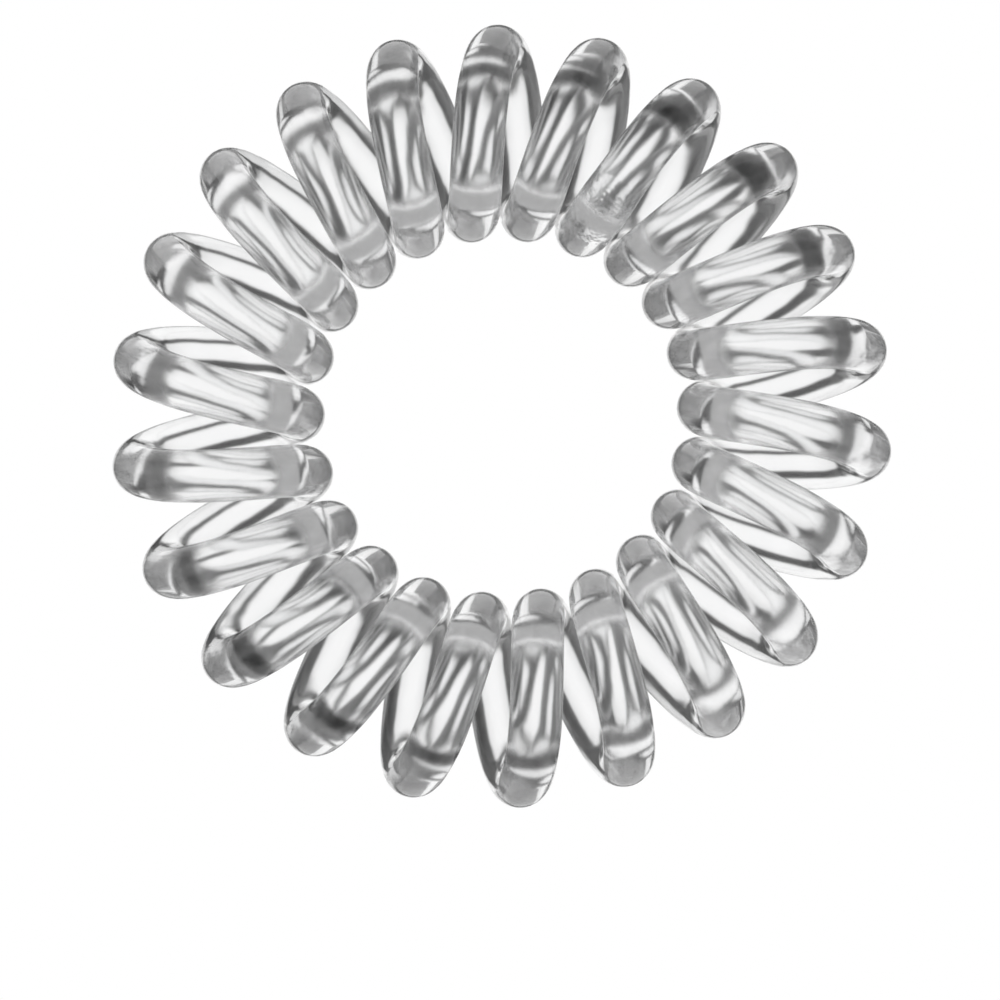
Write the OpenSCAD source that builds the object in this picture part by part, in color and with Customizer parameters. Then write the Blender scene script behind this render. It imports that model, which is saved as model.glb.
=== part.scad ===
// Spiral hair tie: one round plastic cord, wound into a coil and closed into a ring.
// The ring lies flat on z = 0, its axis is +Z, and the turns are counted clockwise
// from +Y, as seen from above. Millimetres.

/* [Tie] */
// Outside diameter of the tie
tie_d = 35; // [32:0.5:45]
// Outside diameter of the coil, which is also the tie's height
coil_d = 9.65; // [8:0.05:12]

/* [Cord] */
// Diameter of the cord
cord_d = 2.35; // [1.6:0.05:3]
// Least gap between neighbouring turns, where they crowd together round the hole
turn_gap = 0.08; // [0.05:0.01:0.6]

/* [Lie of the turns] */
// Angle round the ring at which the first turn starts, on top of the coil
first_turn_at = -4.4; // [-10:0.1:10]
// Share by which the turns lie closer than even on one side of the ring
crowd_share = 0.034; // [0:0.001:0.05]
// Angle round the ring at which they crowd most
crowd_at = 45; // [0:1:359]
// Share by which they lie closer at two opposite places as well
pinch_share = 0.014; // [0:0.001:0.03]
// Angle round the ring of the first of those two places
pinch_at = 128; // [0:1:179]

/* [Weld] */
// Diameter of the cord where its two ends are welded together
weld_d = 2.47; // [1.6:0.01:3.2]
// Length of cord over which the weld swells
weld_l = 4; // [2:0.1:8]
// Turn that carries the weld
weld_turn = 3; // [1:1:12]
// Place of the weld on its turn: 0 is the top of the coil, 90 outside, -90 at the hole
weld_angle = -39; // [-60:1:60]

/* [Mesh] */
// Sides of the cord's section
cord_sides = 12; // [8:1:13]
// Most sections along the whole cord
sections_max = 480; // [360:1:500]

/* [Hidden] */

// Middle line of the cord: a helix of radius coil_r round a circle of radius ring_r
coil_r = (coil_d - cord_d) / 2;
ring_r = (tie_d - coil_d) / 2;
ring_z = coil_d / 2;

// As many turns as the rim of the hole has room for where they lie closest. A turn
// leans there, so it takes a little more of the rim than its own width.
turn_w = cord_d + turn_gap;
turn_lean = asin(turn_w / (2 * PI * coil_r));
rim_l = 2 * PI * (ring_r - coil_r);
turns = floor(rim_l * (1 - crowd_share - pinch_share) * cos(turn_lean) / turn_w);

// Sections on each turn: a multiple of four, so that one lies exactly at the top, at
// the outside, at the bottom and at the hole
sections_per_turn = 4 * floor(sections_max / (4 * turns));
sections = turns * sections_per_turn;

// Where the weld lies along the coil, in degrees of winding, and half its length there
weld_at = 360 * (weld_turn - 1) + weld_angle;
weld_half = (weld_l / 2) / coil_r * 180 / PI;

// Degrees of winding at section i, and the even angle round the ring that goes with it
function wind(i) = 360 * i / sections_per_turn;
function even_angle(w) = w / turns;

// Angle round the ring, with the turns crowded and pinched as they lie
function ring_angle(w) =
    let (even = even_angle(w))
    first_turn_at + even
    - crowd_share * (180 / PI) * (sin(even - crowd_at) + sin(crowd_at))
    - pinch_share / 2 * (180 / PI) * (sin(2 * (even - pinch_at)) + sin(2 * pinch_at));

// Unit vector from the ring's axis towards an angle, clockwise from +Y
function outward(a) = [sin(a), cos(a), 0];

// Unit vector from the middle of the coil towards the cord
function from_coil(w) = sin(w) * outward(ring_angle(w)) + [0, 0, cos(w)];

// Middle line of the cord
function cord_point(w) = ring_r * outward(ring_angle(w)) + coil_r * from_coil(w) + [0, 0, ring_z];

// Direction of the cord, from two points close by
function unit(v) = v / norm(v);
function cord_direction(w) = unit(cord_point(w + 0.1) - cord_point(w - 0.1));

// Radius of the cord, which swells smoothly at the weld
function past_weld(w) = abs(w - weld_at) / weld_half;
function weld_swell(w) = past_weld(w) < 1 ? (1 + cos(180 * past_weld(w))) / 2 : 0;
function cord_radius(w) = (cord_d + (weld_d - cord_d) * weld_swell(w)) / 2;

// The points of one section, round the middle line and square to it
function section(w) =
    let (
        along = cord_direction(w),
        side = unit(cross(along, from_coil(w))),
        up = cross(side, along),
        middle = cord_point(w),
        r = cord_radius(w)
    )
    [for (k = [0 : cord_sides - 1])
        let (a = 360 * k / cord_sides)
        middle + r * (cos(a) * up + sin(a) * side)];

// Number of the point k of section i, both counted round again past their last one
function point_at(i, k) = (i % sections) * cord_sides + k % cord_sides;

// The two triangles between sections i and i + 1 on side k
function side_faces(i, k) = [
    [point_at(i, k), point_at(i + 1, k), point_at(i + 1, k + 1)],
    [point_at(i, k), point_at(i + 1, k + 1), point_at(i, k + 1)]
];

// The cord, swept round the whole ring until it meets itself
module coil() {
    points = [for (i = [0 : sections - 1]) each section(wind(i))];
    faces = [for (i = [0 : sections - 1], k = [0 : cord_sides - 1]) each side_faces(i, k)];
    color([0.90, 0.91, 0.92, 0.55])
        polyhedron(points = points, faces = faces, convexity = 10);
}

coil();
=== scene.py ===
import math

import bpy
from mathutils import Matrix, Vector


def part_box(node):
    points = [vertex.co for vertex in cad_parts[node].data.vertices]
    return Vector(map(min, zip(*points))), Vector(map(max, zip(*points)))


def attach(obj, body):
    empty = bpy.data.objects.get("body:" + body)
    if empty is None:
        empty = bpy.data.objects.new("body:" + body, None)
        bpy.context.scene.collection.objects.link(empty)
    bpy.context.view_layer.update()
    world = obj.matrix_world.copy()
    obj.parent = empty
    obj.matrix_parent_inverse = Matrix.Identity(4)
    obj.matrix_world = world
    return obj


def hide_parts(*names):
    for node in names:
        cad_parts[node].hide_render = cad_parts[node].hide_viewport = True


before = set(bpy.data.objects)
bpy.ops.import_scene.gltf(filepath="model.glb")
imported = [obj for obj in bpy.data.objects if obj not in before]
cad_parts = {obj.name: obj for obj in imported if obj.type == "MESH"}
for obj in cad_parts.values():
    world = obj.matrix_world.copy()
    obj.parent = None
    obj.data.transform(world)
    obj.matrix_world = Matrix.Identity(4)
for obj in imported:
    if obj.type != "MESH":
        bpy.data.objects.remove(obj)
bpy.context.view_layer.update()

# A clear spiral hair tie: one round plastic cord, wound into a coil and closed into a ring.
# Metres. The ring lies on z = 0 round +Z, and its turns are counted clockwise from +Y.

MM = 0.001

# Sizes of the tie
coil_low, coil_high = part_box("coil")
COIL_D = coil_high.z - coil_low.z
TIE_D = 2 * coil_high.y
CORD_D = 2.35 * MM
COIL_R = (COIL_D - CORD_D) / 2
RING_R = (TIE_D - COIL_D) / 2
MID_Z = COIL_D / 2

# Lie of the turns, the same as in the part's source
TURNS = 22
FIRST_TURN_AT = -4.4
CROWD_SHARE = 0.034
CROWD_AT = 45
PINCH_SHARE = 0.014
PINCH_AT = 128

# The weld of the cord's two ends: the turn that carries it, and its place there in degrees
# of winding, where 0 is the top of the coil and 90 is outside
WELD_D = 2.47 * MM
WELD_L = 4 * MM
WELD_TURN = 3
WELD_ANGLE = -39
WELD_AT = 360 * (WELD_TURN - 1) + WELD_ANGLE
WELD_HALF = math.degrees(WELD_L / 2 / COIL_R)
CORD_L = TURNS * math.hypot(2 * math.pi * COIL_R, 2 * math.pi * RING_R / TURNS)

# Fineness of the cord's mesh
SECTIONS_PER_TURN = 64
BEVEL_STEPS = 20

# The photograph's frame: where the middle of the tie lies in it, and the tie's width there
PHOTO_SIDE_PX = 1000
TIE_WIDTH_PX = 784
TIE_MIDDLE_PX = (501, 416.5)
CAMERA_HEIGHT = 0.5
SENSOR_MM = 36

# How often light may bounce in the clear plastic, and pass through the clear parts of the card
LIGHT_BOUNCES = 24
CLEAR_BOUNCES = 16


def deselect_all():
    bpy.ops.object.select_all(action='DESELECT')


def sin_deg(angle):
    return math.sin(math.radians(angle))


def cos_deg(angle):
    return math.cos(math.radians(angle))


# The cord's middle line

def ring_angle(winding):
    """Angle round the ring at a place on the cord, with the turns crowded as they lie."""
    even = winding / TURNS
    crowded = math.degrees(CROWD_SHARE) * (sin_deg(even - CROWD_AT) + sin_deg(CROWD_AT))
    pinched = math.degrees(PINCH_SHARE) / 2 * (
        sin_deg(2 * (even - PINCH_AT)) + sin_deg(2 * PINCH_AT)
    )
    return FIRST_TURN_AT + even - crowded - pinched


def cord_point(winding):
    around = ring_angle(winding)
    out = RING_R + COIL_R * sin_deg(winding)
    height = MID_Z + COIL_R * cos_deg(winding)
    return Vector((out * sin_deg(around), out * cos_deg(around), height))


def cord_swelling(winding):
    """Radius of the cord as a share of its plain radius: it swells a little at the weld."""
    past_weld = abs(winding - WELD_AT) / WELD_HALF
    if past_weld >= 1:
        return 1.0
    return 1 + (WELD_D / CORD_D - 1) * (1 + math.cos(math.pi * past_weld)) / 2


def sweep_cord():
    """The whole cord as one closed tube. It starts and ends in the weld."""
    line = bpy.data.curves.new("tie_cord", 'CURVE')
    line.dimensions = '3D'
    line.bevel_depth = CORD_D / 2
    line.bevel_resolution = BEVEL_STEPS
    spline = line.splines.new('POLY')
    sections = TURNS * SECTIONS_PER_TURN
    spline.points.add(sections - 1)
    for i, point in enumerate(spline.points):
        past_weld = 360 * i / SECTIONS_PER_TURN
        if i > sections / 2:
            past_weld -= 360 * TURNS
        winding = WELD_AT + past_weld
        point.co = (*cord_point(winding), 1)
        point.radius = cord_swelling(winding)
    spline.use_cyclic_u = True
    cord = bpy.data.objects.new("tie_cord", line)
    bpy.context.scene.collection.objects.link(cord)
    deselect_all()
    cord.select_set(True)
    bpy.context.view_layer.objects.active = cord
    bpy.ops.object.convert(target='MESH')
    cord = bpy.context.view_layer.objects.active
    bpy.ops.object.mode_set(mode='EDIT')
    bpy.ops.mesh.select_all(action='SELECT')
    bpy.ops.mesh.normals_make_consistent(inside=False)
    bpy.ops.mesh.select_all(action='DESELECT')
    bpy.ops.object.mode_set(mode='OBJECT')
    bpy.ops.object.shade_smooth()
    cord.name = "tie_cord"
    return cord


# Node helpers

def add_node(tree, kind, **settings):
    node = tree.nodes.new(kind)
    for name, value in settings.items():
        setattr(node, name, value)
    return node


def feed(tree, socket, value):
    if isinstance(value, bpy.types.NodeSocket):
        tree.links.new(value, socket)
    else:
        socket.default_value = value


def math_of(tree, operation, *values):
    node = add_node(tree, 'ShaderNodeMath', operation=operation)
    for socket, value in zip(node.inputs, values):
        feed(tree, socket, value)
    return node.outputs[0]


def length_of(tree, first, second):
    squares = [math_of(tree, 'MULTIPLY', value, value) for value in (first, second)]
    return math_of(tree, 'SQRT', math_of(tree, 'ADD', *squares))


def mix_of(tree, share, first, second):
    node = add_node(tree, 'ShaderNodeMix', data_type='FLOAT')
    feed(tree, node.inputs[0], share)
    feed(tree, node.inputs[2], first)
    feed(tree, node.inputs[3], second)
    return node.outputs[0]


def smooth_of(tree, value, low, high, to_low=0.0, to_high=1.0):
    node = add_node(tree, 'ShaderNodeMapRange', interpolation_type='SMOOTHSTEP')
    feed(tree, node.inputs['Value'], value)
    feed(tree, node.inputs['From Min'], low)
    feed(tree, node.inputs['From Max'], high)
    feed(tree, node.inputs['To Min'], to_low)
    feed(tree, node.inputs['To Max'], to_high)
    return node.outputs[0]


# Clear polyurethane

PLASTIC_COLOR = (0.994, 0.996, 0.998, 1)
PLASTIC_IOR = 1.5

# Its skin: drawn lines along the cord, slow waves, and the grain of the weld
LINE_FINENESS = 4.0
LINE_STRETCH = 8.0
LINE_HEIGHT = 0.008 * MM
WAVE_SIZE = 1.2 * MM
WAVE_HEIGHT = 0.035 * MM
WELD_GRAIN = 0.35 * MM
WELD_GRAIN_HEIGHT = 0.03 * MM

# Its gloss: how far above and below the middle of the tie the glossy tips end and the rubbed
# flat sides begin, with the patches that handling leaves
GLOSS_TO = 3.1 * MM
RUB_FROM = 4.4 * MM
HANDLING_SIZE = 3.3 * MM
HANDLING_REACH = 1.2 * MM
ROUGH_TIPS = 0.07
ROUGH_FACES = 0.2

# The inside of the coil: how far it reaches from the middle of the coil, and how far to each
# side of that middle it is dullest
INSIDE_TO = 3.0 * MM
OUTSIDE_FROM = 3.8 * MM
DULLEST_TO = 0.9 * MM
TIP_FROM = 2.2 * MM
ROUGH_INSIDE = 0.2
ROUGH_INSIDE_TIPS = 0.12


def noise_of(tree, place, fineness, detail):
    node = add_node(tree, 'ShaderNodeTexNoise')
    tree.links.new(place, node.inputs['Vector'])
    node.inputs['Scale'].default_value = fineness
    node.inputs['Detail'].default_value = detail
    return node.outputs[0]


def clear_polyurethane():
    material = bpy.data.materials.new("clear_polyurethane")
    material.use_nodes = True
    tree = material.node_tree
    plastic = tree.nodes['Principled BSDF']
    plastic.inputs['Base Color'].default_value = PLASTIC_COLOR
    plastic.inputs['Transmission Weight'].default_value = 1.0
    plastic.inputs['Metallic'].default_value = 0.0
    plastic.inputs['IOR'].default_value = PLASTIC_IOR

    # The cord's own UV map runs from 0 to 1 along it, from weld to weld, and once round it
    uv = add_node(tree, 'ShaderNodeUVMap', uv_map="UVMap")
    split = add_node(tree, 'ShaderNodeSeparateXYZ')
    tree.links.new(uv.outputs[0], split.inputs[0])
    along, around = split.outputs[0], split.outputs[1]
    turn = math_of(tree, 'MULTIPLY', around, 2 * math.pi)
    to_weld = math_of(tree, 'MINIMUM', along, math_of(tree, 'SUBTRACT', 1.0, along))
    to_weld = math_of(tree, 'MULTIPLY', to_weld, CORD_L)
    in_weld = smooth_of(tree, to_weld, WELD_L / 4, WELD_L / 2, 1.0, 0.0)

    # Faint lines along the cord, from the nozzle that it was drawn through
    place = add_node(tree, 'ShaderNodeCombineXYZ')
    feed(tree, place.inputs[0], math_of(tree, 'COSINE', turn))
    feed(tree, place.inputs[1], math_of(tree, 'SINE', turn))
    feed(tree, place.inputs[2], math_of(tree, 'MULTIPLY', along, LINE_STRETCH))
    lines = noise_of(tree, place.outputs[0], LINE_FINENESS, 1.0)

    # Slow unevenness of the drawn plastic, and the melted skin of the weld
    object_place = add_node(tree, 'ShaderNodeTexCoord').outputs['Object']
    waves = noise_of(tree, object_place, 1 / WAVE_SIZE, 0.0)
    melted = noise_of(tree, object_place, 1 / WELD_GRAIN, 1.0)
    height = math_of(tree, 'MULTIPLY', lines, LINE_HEIGHT / MM)
    height = math_of(tree, 'ADD', height, math_of(tree, 'MULTIPLY', waves, WAVE_HEIGHT / MM))
    grain = math_of(tree, 'MULTIPLY', melted, WELD_GRAIN_HEIGHT / MM)
    height = mix_of(tree, in_weld, height, grain)
    bump = add_node(tree, 'ShaderNodeBump')
    bump.inputs['Strength'].default_value = 1.0
    bump.inputs['Distance'].default_value = MM
    tree.links.new(height, bump.inputs['Height'])
    tree.links.new(bump.outputs[0], plastic.inputs['Normal'])

    # The tie lies and rubs on its two flat sides, so the tips of its turns are the glossiest
    place_split = add_node(tree, 'ShaderNodeSeparateXYZ')
    tree.links.new(object_place, place_split.inputs[0])
    x, y, z = place_split.outputs
    above = math_of(tree, 'SUBTRACT', z, MID_Z)
    off_middle = math_of(tree, 'ABSOLUTE', above)
    handling = noise_of(tree, object_place, 1 / HANDLING_SIZE, 1.0)
    handling = math_of(tree, 'MULTIPLY', handling, HANDLING_REACH)
    off_middle = math_of(tree, 'ADD', off_middle, handling)
    roughness = smooth_of(tree, off_middle, GLOSS_TO, RUB_FROM, ROUGH_TIPS, ROUGH_FACES)

    # The inside of the coil is duller, from the rod that the cord was wound round, and most
    # of all halfway between the tips
    off_ring = math_of(tree, 'SUBTRACT', length_of(tree, x, y), RING_R)
    from_core = length_of(tree, off_ring, above)
    outer = smooth_of(tree, from_core, INSIDE_TO, OUTSIDE_FROM)
    to_tip = math_of(tree, 'ABSOLUTE', off_ring)
    inside = smooth_of(tree, to_tip, DULLEST_TO, TIP_FROM, ROUGH_INSIDE, ROUGH_INSIDE_TIPS)
    roughness = mix_of(tree, outer, inside, roughness)
    tree.links.new(roughness, plastic.inputs['Roughness'])
    return material


# The studio

# What the tie sees round it is a square room, a little turned, with a pale panel in the middle
# of its floor. Angles are in degrees: from straight down, and round, counter-clockwise from +X.
PANEL_MIDDLE = (-0.6, -1.2)
PANEL_HALF = (20, 12.7)
PANEL_TURN = 2.5
PANEL_ROUNDING = 7
PANEL_EVEN_TO = 4
PANEL_LIGHT = 1.0
PANEL_END_LIGHT = 0.86

# Each wall or lamp: the way it lies, its half width round, the tilt towards it at which it
# starts, where it starts and ends from straight down, and its light in the middle and at its ends
ROOM_LIGHTS = {
    "far wall": (90.5, 46.5, 25, 0, 93, 1.02, 0.84),
    "near wall": (274, 54.5, 20.5, 0, 93, 1.02, 0.84),
    "left wall, low": (180, 34, 20, 30, 75, 0.18, 0.16),
    "left wall, high": (180, 34, 20, 52, 78, 0.34, 0.34),
    "right wall, low": (0, 34, 20, 30, 75, 0.03, 0.08),
    "right wall, high": (0, 34, 20, 52, 78, 0.36, 0.42),
    "lamp on the left": (156, 52, 0, 94, 145, 1.15, 0.8),
    "lamp on the right": (338, 45, 0, 94, 140, 0.65, 0.5),
}
ROOM_EDGE = 2.0
ROOM_CORNER = 5.0
ROOM_FADE = 6.0

# The room between them, and where one of its lights fades into the next on the way up
ROOM_DARK = 0.08
HORIZON_FADE = (72, 88)
ROOM_HORIZON = 0.35
ABOVE_FADE = (90, 98)
ROOM_ABOVE = 0.12
CEILING_FADE = (140, 160)
ROOM_CEILING = 0.36

# The least distance from straight down that a direction is taken to have
LEAST_SIDEWAYS = 0.0001


def toward(tree, x, y, facing):
    along_x = math_of(tree, 'MULTIPLY', x, cos_deg(facing))
    along_y = math_of(tree, 'MULTIPLY', y, sin_deg(facing))
    return math_of(tree, 'ADD', along_x, along_y)


def degrees_of(tree, radians):
    return math_of(tree, 'MULTIPLY', radians, 180 / math.pi)


def room_light(tree, sight, before, light):
    """The light from a direction once one wall or lamp is laid over what was there before."""
    facing, half, tilt_from, low, high, middle, ends = light
    x, y, down, sideways, from_down = sight
    reach = toward(tree, x, y, facing)
    off_facing = math_of(tree, 'ARCCOSINE', math_of(tree, 'DIVIDE', reach, sideways))
    off_facing = degrees_of(tree, off_facing)
    share = smooth_of(tree, off_facing, half - ROOM_CORNER, half + ROOM_CORNER, 1.0, 0.0)
    if tilt_from:
        tilt = degrees_of(tree, math_of(tree, 'ARCTAN2', reach, down))
        past_foot = smooth_of(tree, tilt, tilt_from - ROOM_EDGE, tilt_from + ROOM_EDGE)
        share = math_of(tree, 'MULTIPLY', share, past_foot)
    if low:
        past_low = smooth_of(tree, from_down, low - ROOM_FADE, low + ROOM_FADE)
        share = math_of(tree, 'MULTIPLY', share, past_low)
    below_top = smooth_of(tree, from_down, high - ROOM_FADE, high + ROOM_FADE, 1.0, 0.0)
    share = math_of(tree, 'MULTIPLY', share, below_top)
    brightness = smooth_of(tree, off_facing, 0, half, middle, ends)
    return mix_of(tree, share, before, brightness)


def floor_panel(tree, across, along, before):
    """The light from a direction once the panel is laid over it, with its corners rounded."""
    half_length, half_width = PANEL_HALF
    dx = math_of(tree, 'SUBTRACT', across, PANEL_MIDDLE[0])
    dy = math_of(tree, 'SUBTRACT', along, PANEL_MIDDLE[1])
    length = math_of(tree, 'ABSOLUTE', toward(tree, dx, dy, PANEL_TURN))
    width = math_of(tree, 'ABSOLUTE', toward(tree, dx, dy, PANEL_TURN + 90))
    past_end = math_of(tree, 'SUBTRACT', length, half_length - PANEL_ROUNDING)
    past_side = math_of(tree, 'SUBTRACT', width, half_width - PANEL_ROUNDING)
    past_end = math_of(tree, 'MAXIMUM', past_end, 0.0)
    past_side = math_of(tree, 'MAXIMUM', past_side, 0.0)
    past = length_of(tree, past_end, past_side)
    share = smooth_of(tree, past, PANEL_ROUNDING - ROOM_EDGE, PANEL_ROUNDING + ROOM_EDGE, 1.0, 0.0)
    light = smooth_of(tree, length, PANEL_EVEN_TO, half_length, PANEL_LIGHT, PANEL_END_LIGHT)
    return mix_of(tree, share, before, light)


def build_room():
    world = bpy.data.worlds.new("studio_room")
    bpy.context.scene.world = world
    world.use_nodes = True
    tree = world.node_tree
    direction = add_node(tree, 'ShaderNodeTexCoord')
    split = add_node(tree, 'ShaderNodeSeparateXYZ')
    tree.links.new(direction.outputs['Generated'], split.inputs[0])
    x, y, z = split.outputs
    down = math_of(tree, 'MULTIPLY', z, -1.0)
    from_down = degrees_of(tree, math_of(tree, 'ARCCOSINE', down))
    sideways = math_of(tree, 'MAXIMUM', length_of(tree, x, y), LEAST_SIDEWAYS)
    spread = math_of(tree, 'DIVIDE', from_down, sideways)
    across = math_of(tree, 'MULTIPLY', x, spread)
    along = math_of(tree, 'MULTIPLY', y, spread)
    value = smooth_of(tree, from_down, *HORIZON_FADE, ROOM_DARK, ROOM_HORIZON)
    value = mix_of(tree, smooth_of(tree, from_down, *ABOVE_FADE), value, ROOM_ABOVE)
    for light in ROOM_LIGHTS.values():
        value = room_light(tree, (x, y, down, sideways, from_down), value, light)
    value = floor_panel(tree, across, along, value)
    value = mix_of(tree, smooth_of(tree, from_down, *CEILING_FADE), value, ROOM_CEILING)

    # Where nothing but the room is behind the tie, the camera sees it plain white
    ray = add_node(tree, 'ShaderNodeLightPath')
    value = mix_of(tree, ray.outputs['Is Camera Ray'], value, 1.0)
    background = tree.nodes['Background']
    tree.links.new(value, background.inputs['Color'])
    world.cycles.sampling_method = 'NONE'


FLOOR_SIDE = 3.0


def build_floor():
    bpy.ops.mesh.primitive_plane_add(size=FLOOR_SIDE, location=(0, 0, 0))
    floor = bpy.context.view_layer.objects.active
    floor.name = "pale_floor"
    material = bpy.data.materials.new("pale_floor")
    material.use_nodes = True
    surface = material.node_tree.nodes['Principled BSDF']
    # It glows evenly and takes no light, so it is white from every side
    surface.inputs['Base Color'].default_value = (0, 0, 0, 1)
    surface.inputs['Specular IOR Level'].default_value = 0.0
    surface.inputs['Emission Color'].default_value = (1, 1, 1, 1)
    surface.inputs['Emission Strength'].default_value = 1.0
    floor.data.materials.append(material)
    floor.visible_transmission = False
    floor.visible_glossy = False


# The shade card lies under the tie and glows with painted shade: a grey disc of painted shade on
# the floor in the hole, and a dark ring of painted shadow round the tie
HOLE_SHADE_R = 7.3 * MM
HOLE_SHADE_GLOW = 0.42
SHADE_FROM = 21.4 * MM
SHADE_TO = 34 * MM
SHADE_PALE_AT = 60 * MM
SHADE_CARD_R = 250 * MM
SHADE_CARD_SIDES = 96
SHADE_CARD_UNDER = 0.01 * MM
SHADE_DARK = 0.11
SHADE_SWING = 0.1
SHADE_PALE = 0.25

# The ring's inner edge is crisp but for two places, one facing this way and one opposite,
# where it fades out. They reach as far as this cosine of the angle from their middle.
SHADE_EDGE = 0.4 * MM
SHADE_FADE_FACING = 123
SHADE_FADE_REACH = 0.87
SHADE_FADE = 3.9 * MM
SHADE_FADE_OPPOSITE = 2 * SHADE_FADE


def shade_card_material():
    material = bpy.data.materials.new("shade_card")
    material.use_nodes = True
    tree = material.node_tree
    tree.nodes.remove(tree.nodes['Principled BSDF'])
    place = add_node(tree, 'ShaderNodeTexCoord')
    split = add_node(tree, 'ShaderNodeSeparateXYZ')
    tree.links.new(place.outputs['Object'], split.inputs[0])
    x, y = split.outputs[0], split.outputs[1]
    out = length_of(tree, x, y)
    cosine = math_of(tree, 'DIVIDE', x, out)
    sine = math_of(tree, 'DIVIDE', y, out)
    twice_round = math_of(tree, 'MULTIPLY', math_of(tree, 'MULTIPLY', cosine, sine), 2.0)
    swing = math_of(tree, 'MULTIPLY', twice_round, SHADE_SWING)
    dark = math_of(tree, 'SUBTRACT', SHADE_DARK, swing)
    ring = mix_of(tree, smooth_of(tree, out, SHADE_TO, SHADE_PALE_AT), dark, SHADE_PALE)
    # The grey disc in the hole is painted shade, and the dark ring round the tie is painted shadow
    in_hole = math_of(tree, 'LESS_THAN', out, HOLE_SHADE_R)
    light = mix_of(tree, in_hole, ring, HOLE_SHADE_GLOW)
    facing = math_of(tree, 'DIVIDE', toward(tree, x, y, SHADE_FADE_FACING), out)
    fade = smooth_of(tree, facing, SHADE_FADE_REACH, 1.0, SHADE_EDGE, SHADE_FADE)
    opposite = smooth_of(tree, facing, -SHADE_FADE_REACH, -1.0, SHADE_EDGE, SHADE_FADE_OPPOSITE)
    fade = math_of(tree, 'MAXIMUM', fade, opposite)
    faded_to = math_of(tree, 'ADD', fade, SHADE_FROM)
    outside = smooth_of(tree, out, SHADE_FROM - SHADE_EDGE, faded_to)
    covered = math_of(tree, 'MAXIMUM', in_hole, outside)
    glow = add_node(tree, 'ShaderNodeEmission')
    tree.links.new(light, glow.inputs['Color'])
    clear = add_node(tree, 'ShaderNodeBsdfTransparent')
    mixed = add_node(tree, 'ShaderNodeMixShader')
    tree.links.new(covered, mixed.inputs[0])
    tree.links.new(clear.outputs[0], mixed.inputs[1])
    tree.links.new(glow.outputs[0], mixed.inputs[2])
    tree.links.new(mixed.outputs[0], tree.nodes['Material Output'].inputs['Surface'])
    return material


def build_shade_card():
    """A glowing card of painted shade and shadow. Only the plastic sees this card, never the
    camera.
    """
    bpy.ops.mesh.primitive_circle_add(
        vertices=SHADE_CARD_SIDES,
        radius=SHADE_CARD_R,
        fill_type='NGON',
        location=(0, 0, -SHADE_CARD_UNDER),
    )
    card = bpy.context.view_layer.objects.active
    card.name = "shade_card"
    card.data.materials.append(shade_card_material())
    card.visible_camera = False
    card.visible_glossy = False
    card.visible_diffuse = False
    card.visible_shadow = False


def build_camera():
    metres_per_px = TIE_D / TIE_WIDTH_PX
    half_view = PHOTO_SIDE_PX / 2 * metres_per_px
    lens = bpy.data.cameras.new("photo_camera")
    lens.sensor_width = SENSOR_MM
    lens.lens = SENSOR_MM / 2 * CAMERA_HEIGHT / half_view
    camera = bpy.data.objects.new("photo_camera", lens)
    bpy.context.scene.collection.objects.link(camera)
    camera.location = (
        (PHOTO_SIDE_PX / 2 - TIE_MIDDLE_PX[0]) * metres_per_px,
        (TIE_MIDDLE_PX[1] - PHOTO_SIDE_PX / 2) * metres_per_px,
        MID_Z + CAMERA_HEIGHT,
    )
    bpy.context.scene.camera = camera


def set_light_paths():
    scene = bpy.context.scene
    scene.view_settings.view_transform = 'Standard'
    scene.view_settings.look = 'None'
    scene.cycles.max_bounces = LIGHT_BOUNCES
    scene.cycles.transmission_bounces = LIGHT_BOUNCES
    scene.cycles.glossy_bounces = LIGHT_BOUNCES
    scene.cycles.transparent_max_bounces = CLEAR_BOUNCES
    scene.cycles.use_denoising = True


build_camera()
deselect_all()
cord = sweep_cord()
cord.data.materials.clear()
cord.data.materials.append(clear_polyurethane())
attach(cord, "root")
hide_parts("coil")
deselect_all()
build_floor()
build_shade_card()
build_room()
set_light_paths()
